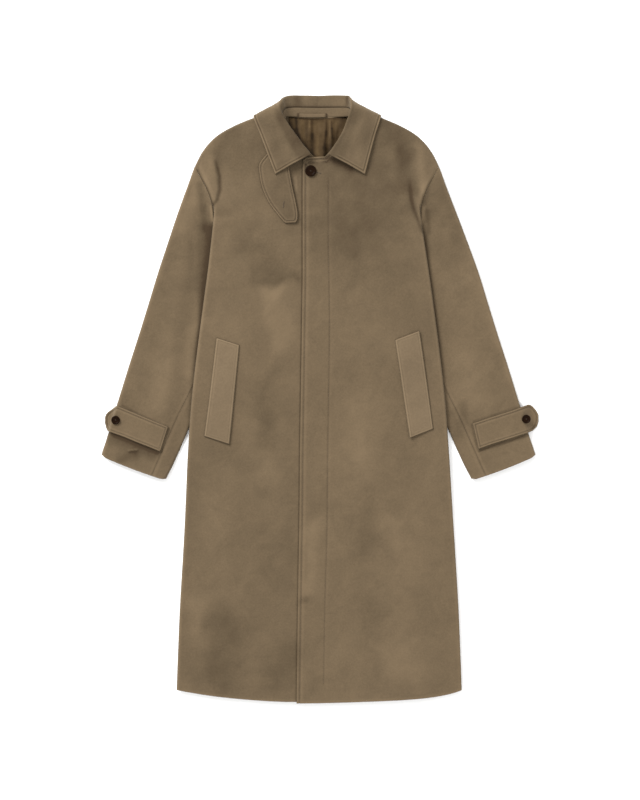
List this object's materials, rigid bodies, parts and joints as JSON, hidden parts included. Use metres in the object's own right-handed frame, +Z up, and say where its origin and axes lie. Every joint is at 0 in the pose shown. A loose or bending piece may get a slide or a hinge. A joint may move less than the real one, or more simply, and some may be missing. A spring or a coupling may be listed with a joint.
{
  "type": "overcoat",
  "caption": "Long taupe wool overcoat with a fly front, point collar, throat latch, slanted welt pockets and cuff tabs, laid flat on its back.",
  "frame": {"origin": "centre of the coat's outline on the surface that it lies on", "axes": "+Z up from that surface through the fronts, +Y from the hem to the collar, +X towards the wearer's left sleeve"},
  "size_m": [0.8514, 1.1858, 0.038],
  "materials": {
    "wool": "felted wool coating with a short soft nap",
    "lining": "smooth twill lining with a faint sheen",
    "horn": "polished dark brown horn-like resin"
  },
  "bodies": {
    "root": {"front_left": "wool", "front_right": "wool", "back": "wool", "sleeve_upper_left": "wool", "sleeve_under_left": "wool", "sleeve_upper_right": "wool", "sleeve_under_right": "wool", "throat_latch": "wool", "collar_stand": "wool", "collar_fall": "wool", "back_lining": "lining", "hanger_loop": "lining", "pocket_welt_left": "wool", "pocket_welt_right": "wool", "cuff_tab_left": "wool", "cuff_tab_right": "wool", "button_neck": "horn", "button_cuff_left": "horn", "button_cuff_right": "horn"}
  },
  "joints": []
}
